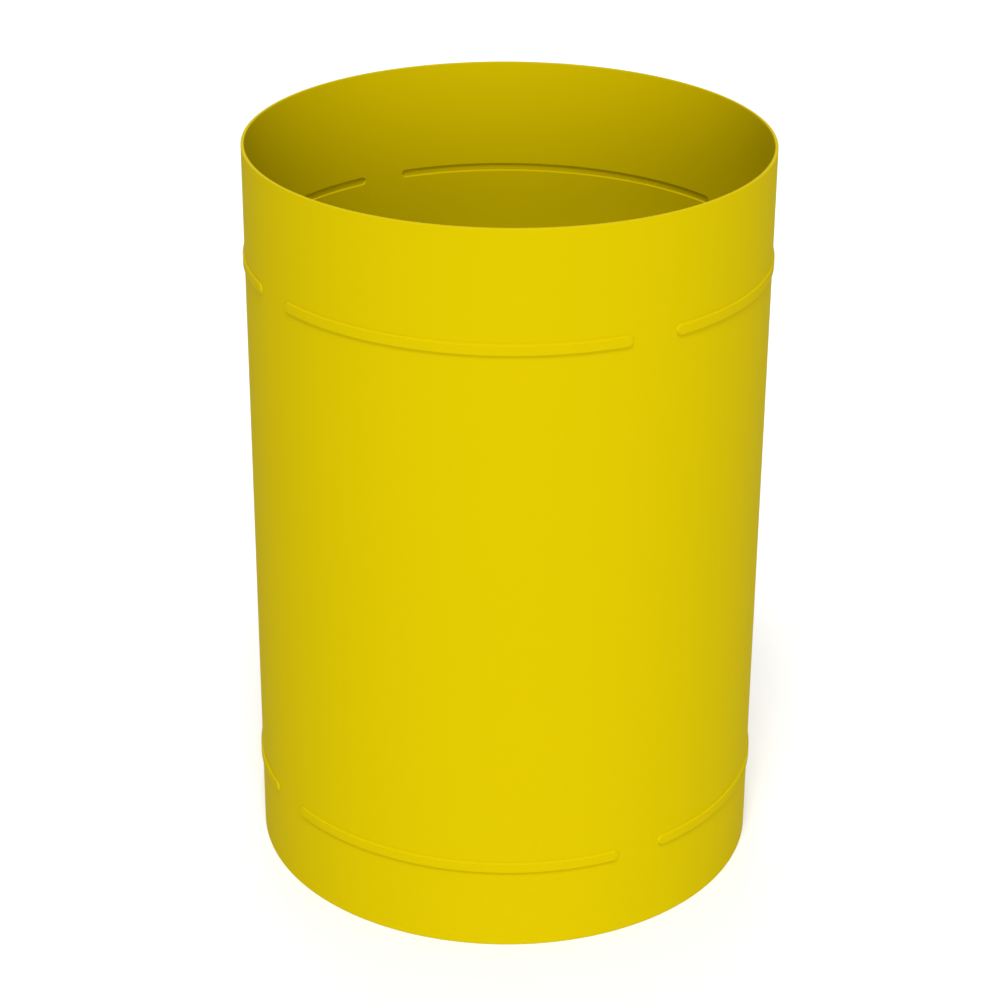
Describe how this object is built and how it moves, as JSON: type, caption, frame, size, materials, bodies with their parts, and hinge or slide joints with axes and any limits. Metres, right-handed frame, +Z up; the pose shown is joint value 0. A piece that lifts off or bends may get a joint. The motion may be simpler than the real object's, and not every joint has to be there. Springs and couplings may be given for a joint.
{
  "type": "retractable bollard",
  "caption": "Retractable bollard stored lowered in a beaded open-topped round ground casing, with a telescopic post, gas springs, lock and folding handle.",
  "frame": {"origin": "centre of the casing's bottom edge, on the surface it stands on", "axes": "+Z up along the post's axis; +Y towards the drain hole, so the lock is on the -Y side of the head"},
  "size_m": [0.604, 0.604, 0.878],
  "materials": {
    "yellow_coat": "satin powder coat",
    "galvanised": "dull galvanised",
    "bright_fixing": "satin zinc plate",
    "spring_body": "satin black enamel",
    "bearing_polymer": "matte",
    "seal_rubber": "matte",
    "reflective": "reflective sheeting",
    "stainless": "brushed"
  },
  "bodies": {
    "ground_casing": {"casing_shell": "yellow_coat", "base_plate": "galvanised", "base_angle_ring": "galvanised", "base_ring_bolts": "bright_fixing", "drain_grate": "galvanised", "post_buffers": "seal_rubber", "pillar_1": "galvanised", "pillar_2": "galvanised", "pillar_3": "galvanised", "pillar_4": "galvanised", "pillar_foot_bolts": "bright_fixing", "pillar_head_bolts": "bright_fixing", "guide_plate": "galvanised", "guide_bush": "bearing_polymer", "guide_clamp_ring": "galvanised", "guide_wiper_seal": "seal_rubber", "clamp_screws": "bright_fixing", "casing_lugs": "yellow_coat", "lug_bolts": "bright_fixing", "latch_catches": "galvanised", "catch_bolts": "bright_fixing", "lower_gas_bracket": "galvanised", "lower_gas_pin": "bright_fixing", "lower_gas_cylinder": "spring_body"},
    "lower_post": {"lower_tube": "yellow_coat", "lower_collar": "galvanised", "lift_tube": "galvanised", "lift_nut": "bright_fixing", "lower_gas_rod": "stainless", "slide_shoes": "bearing_polymer", "shoe_bolts": "bright_fixing", "stage_buffer": "seal_rubber", "stage_bush": "bearing_polymer", "stage_wiper_seal": "seal_rubber", "stage_top_ring": "yellow_coat", "stage_ring_screws": "bright_fixing", "lower_band": "reflective", "upper_gas_cylinders": "spring_body", "latch_pins": "bright_fixing", "latch_springs": "bright_fixing"},
    "left_latch": {"latch_left": "galvanised"},
    "right_latch": {"latch_right": "galvanised"},
    "upper_post": {"upper_tube": "yellow_coat", "foot_disc": "galvanised", "wear_ring": "bearing_polymer", "crown_plate": "galvanised", "head": "yellow_coat", "head_screws": "bright_fixing", "upper_band": "reflective", "upper_gas_rods": "stainless", "bolt_keeper": "galvanised", "keeper_screws": "bright_fixing", "cover_screw": "bright_fixing", "handle_pins": "bright_fixing"},
    "lock_shaft": {"lock_rod": "stainless", "lock_pinion": "stainless", "lock_spindle": "stainless"},
    "rack_bolt": {"lock_bolt": "stainless"},
    "cover": {"lock_cover": "yellow_coat"},
    "lifting_handle": {"handle": "stainless"}
  },
  "joints": [
    {"name": "lower_post_slide", "type": "slide", "parent": "ground_casing", "child": "lower_post", "axis": [0, 0, 1], "range_m": [0, 0.444]},
    {"name": "upper_post_slide", "type": "slide", "parent": "lower_post", "child": "upper_post", "axis": [0, 0, 1], "range_m": [0, 0.44]},
    {"name": "right_latch_swing", "type": "hinge", "parent": "lower_post", "child": "right_latch", "pos_m": [0.18, 0, 0.076], "axis": [0, 1, 0], "range_deg": [0, 15]},
    {"name": "left_latch_swing", "type": "hinge", "parent": "lower_post", "child": "left_latch", "pos_m": [-0.18, 0, 0.076], "axis": [0, -1, 0], "range_deg": [0, 15]},
    {"name": "lock_turn", "type": "hinge", "parent": "upper_post", "child": "lock_shaft", "pos_m": [0, -0.062, 0.712], "axis": [0, 0, -1], "range_deg": [0, 90]},
    {"name": "bolt_throw", "type": "slide", "parent": "upper_post", "child": "rack_bolt", "axis": [0, -1, 0], "range_m": [0, 0.01884]},
    {"name": "cover_swing", "type": "hinge", "parent": "upper_post", "child": "cover", "pos_m": [0.024, -0.062, 0.712], "axis": [0, 0, -1], "range_deg": [0, 120]},
    {"name": "handle_lift", "type": "hinge", "parent": "upper_post", "child": "lifting_handle", "pos_m": [0, 0.008, 0.705], "axis": [1, 0, 0], "range_deg": [0, 90]}
  ],
  "couplings": [
    {"joint": "right_latch_swing", "follows": "upper_post_slide", "rad_per_m": 0.59494},
    {"joint": "left_latch_swing", "follows": "upper_post_slide", "rad_per_m": 0.59494},
    {"joint": "lock_turn", "follows": "bolt_throw", "rad_per_m": 83.333}
  ]
}
